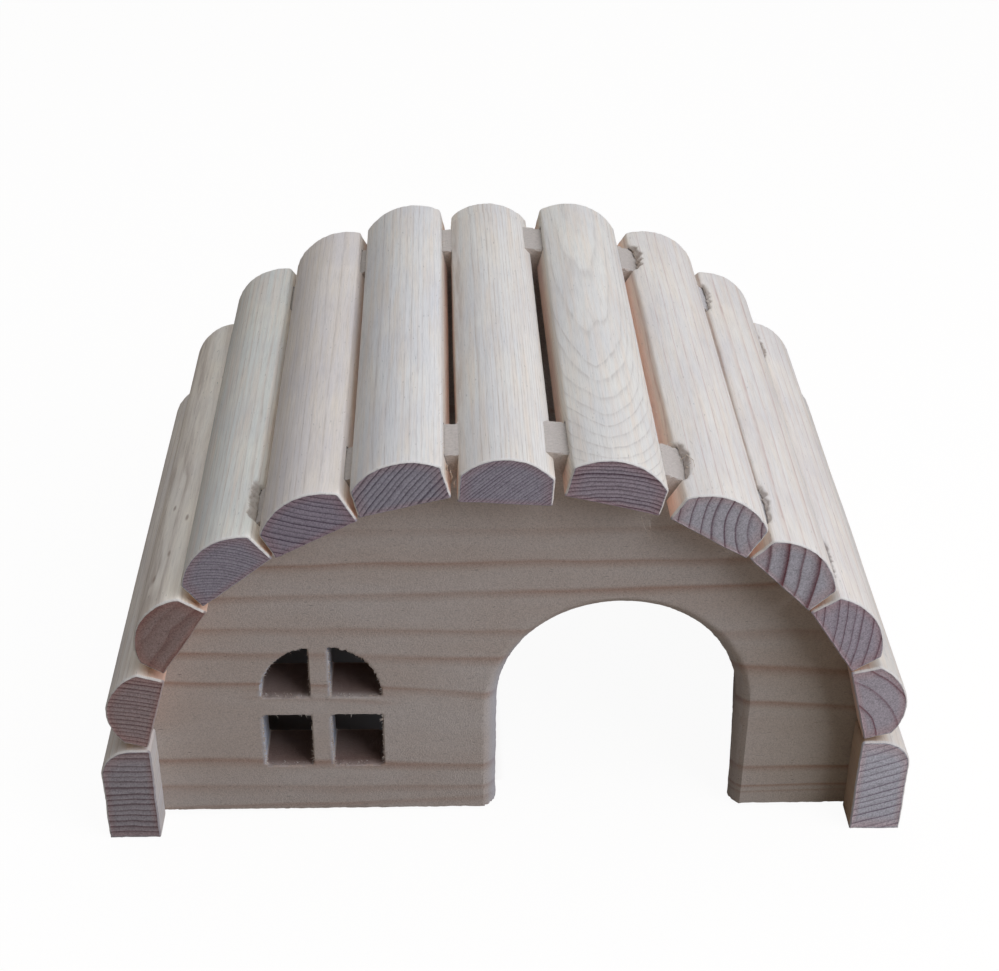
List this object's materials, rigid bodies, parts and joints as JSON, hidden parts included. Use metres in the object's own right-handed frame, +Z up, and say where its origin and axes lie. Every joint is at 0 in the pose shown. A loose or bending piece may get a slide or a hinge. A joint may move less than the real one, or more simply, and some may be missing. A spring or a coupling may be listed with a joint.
{
  "type": "hamster house",
  "caption": "Half-log wooden hamster house: half-round roof slats over arched end panels, with an arched doorway, a barred window and an open floor.",
  "frame": {"origin": "on the ground, under the middle of the house", "axes": "+X to the right seen from the front, -Y out of the doorway, +Z up"},
  "size_m": [0.1842, 0.127, 0.1032],
  "materials": {
    "pine_slats": "raw sanded",
    "pine_rails": "raw sanded",
    "pine_panels": "raw sanded"
  },
  "bodies": {
    "root": {"roof_slat_01": "pine_slats", "roof_slat_02": "pine_slats", "roof_slat_03": "pine_slats", "roof_slat_04": "pine_slats", "roof_slat_05": "pine_slats", "roof_slat_06": "pine_slats", "roof_slat_07": "pine_slats", "roof_slat_08": "pine_slats", "roof_slat_09": "pine_slats", "roof_slat_10": "pine_slats", "roof_slat_11": "pine_slats", "side_rail_left": "pine_rails", "side_rail_right": "pine_rails", "front_panel": "pine_panels", "back_panel": "pine_panels"}
  },
  "joints": []
}
